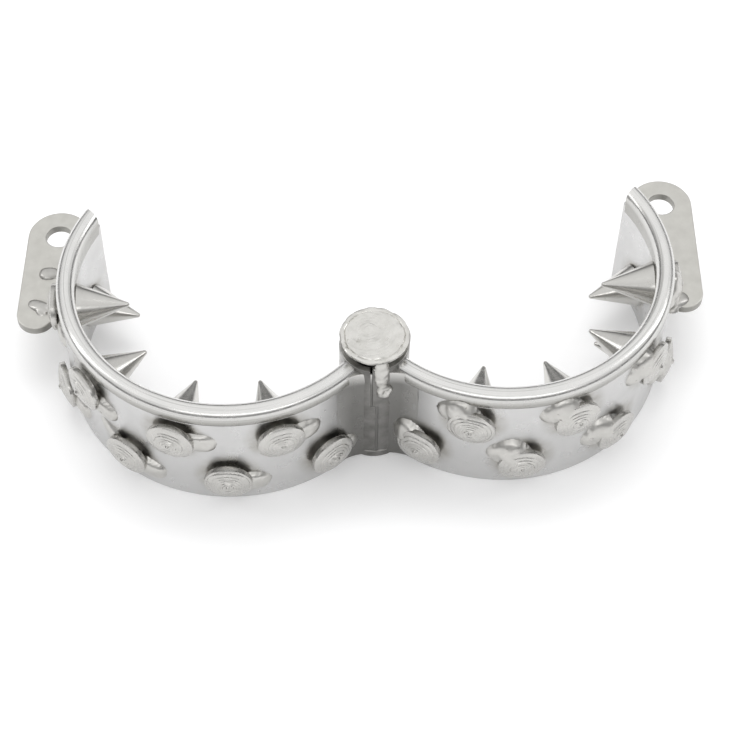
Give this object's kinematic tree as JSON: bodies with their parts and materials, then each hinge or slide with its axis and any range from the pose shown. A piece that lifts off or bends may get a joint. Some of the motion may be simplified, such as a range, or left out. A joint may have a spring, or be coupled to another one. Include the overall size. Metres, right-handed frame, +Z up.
{
  "type": "hinged spiked cuff",
  "caption": "Hinged two-half steel cuff, shown open, with inward cone spikes screwed through an upright band, a polished rim bead, a pinned barrel hinge and drilled closing tabs.",
  "frame": {"origin": "middle of the footprint, on the surface the cuff lies on", "axes": "+X from the left half to the right half along the longest side, +Y towards the free ends, +Z up along the hinge pin"},
  "size_m": [0.1312, 0.0634, 0.03],
  "materials": {
    "satin_band": "satin stainless sheet with faint vertical grain",
    "polished_rim": "polished bright bead",
    "tab_plate": "matte blasted plate",
    "hinge_shell": "satin, darker round the welds",
    "hinge_core": "turned",
    "ground_cap": "weld metal ground flat with swirls",
    "turned_spike": "turned, with fine rings on cone and screw head"
  },
  "bodies": {
    "left_half": {"left_band": "satin_band", "left_rim": "polished_rim", "left_tab": "tab_plate", "left_hinge_shell": "hinge_shell", "lower_knuckle": "hinge_core", "left_spike_1": "turned_spike", "left_screw_1": "turned_spike", "left_spike_2": "turned_spike", "left_screw_2": "turned_spike", "left_spike_3": "turned_spike", "left_screw_3": "turned_spike", "left_spike_4": "turned_spike", "left_screw_4": "turned_spike", "left_spike_5": "turned_spike", "left_screw_5": "turned_spike", "left_spike_6": "turned_spike", "left_screw_6": "turned_spike", "left_spike_7": "turned_spike", "left_screw_7": "turned_spike", "left_spike_8": "turned_spike", "left_screw_8": "turned_spike", "left_spike_9": "turned_spike", "left_screw_9": "turned_spike"},
    "right_half": {"right_band": "satin_band", "right_rim": "polished_rim", "right_tab": "tab_plate", "right_hinge_shell": "hinge_shell", "upper_knuckle": "hinge_core", "hinge_pin": "hinge_core", "top_cap": "ground_cap", "bottom_cap": "ground_cap", "right_spike_1": "turned_spike", "right_screw_1": "turned_spike", "right_spike_2": "turned_spike", "right_screw_2": "turned_spike", "right_spike_3": "turned_spike", "right_screw_3": "turned_spike", "right_spike_4": "turned_spike", "right_screw_4": "turned_spike", "right_spike_5": "turned_spike", "right_screw_5": "turned_spike", "right_spike_6": "turned_spike", "right_screw_6": "turned_spike", "right_spike_7": "turned_spike", "right_screw_7": "turned_spike", "right_spike_8": "turned_spike", "right_screw_8": "turned_spike", "right_spike_9": "turned_spike", "right_screw_9": "turned_spike"}
  },
  "joints": [
    {"name": "cuff_hinge", "type": "hinge", "parent": "left_half", "child": "right_half", "pos_m": [0.00021, -0.01529, 0], "axis": [0, 0, 1], "range_deg": [-2, 111]}
  ]
}
